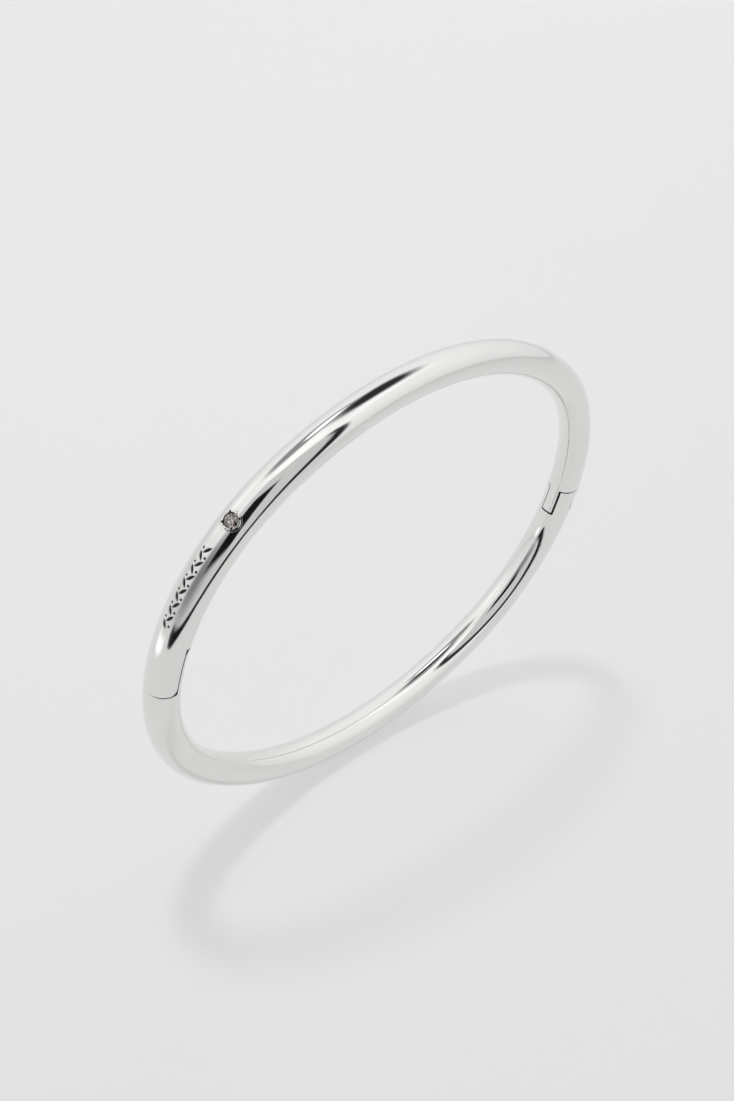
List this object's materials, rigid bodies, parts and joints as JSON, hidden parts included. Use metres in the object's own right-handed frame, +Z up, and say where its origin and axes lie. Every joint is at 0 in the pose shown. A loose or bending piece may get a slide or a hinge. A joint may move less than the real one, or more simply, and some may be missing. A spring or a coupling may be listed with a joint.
{
  "type": "hinged bangle bracelet",
  "caption": "Oval bangle bracelet of round polished silver tube, with a knuckle hinge, a lapped spring-tongue clasp and a small stone set in the front.",
  "frame": {"origin": "middle of the wrist opening, half way through the tube", "axes": "+X from the clasp to the hinge, +Y through the opening along the wrist, +Z up, towards the middle of the front half"},
  "size_m": [0.0654, 0.0036, 0.0554],
  "materials": {
    "polished_silver": "mirror-polished sterling silver",
    "spring_silver": "rolled silver strip, satin",
    "clear_stone": "faceted clear stone"
  },
  "bodies": {
    "back_half": {"back_tube": "polished_silver", "back_hinge_cheeks": "polished_silver", "hinge_pin": "polished_silver", "back_clasp_block": "polished_silver", "clasp_tongue": "spring_silver"},
    "spring_leaf": {"clasp_spring_leaf": "spring_silver"},
    "front_half": {"front_tube": "polished_silver", "front_hinge_knuckle": "polished_silver", "front_clasp_socket": "polished_silver", "stone_seat": "polished_silver", "stone": "clear_stone"}
  },
  "joints": [
    {"name": "front_opens", "type": "hinge", "parent": "back_half", "child": "front_half", "pos_m": [0.03135, 0, -0.0003], "axis": [0, 1, 0], "range_deg": [0, 60]},
    {"name": "spring_leaf_bends", "type": "hinge", "parent": "back_half", "child": "spring_leaf", "pos_m": [-0.02955, 0, 0.0077], "axis": [0, 1, 0], "range_deg": [-3.5, 0], "stiffness_Nm_per_rad": 0.01}
  ]
}
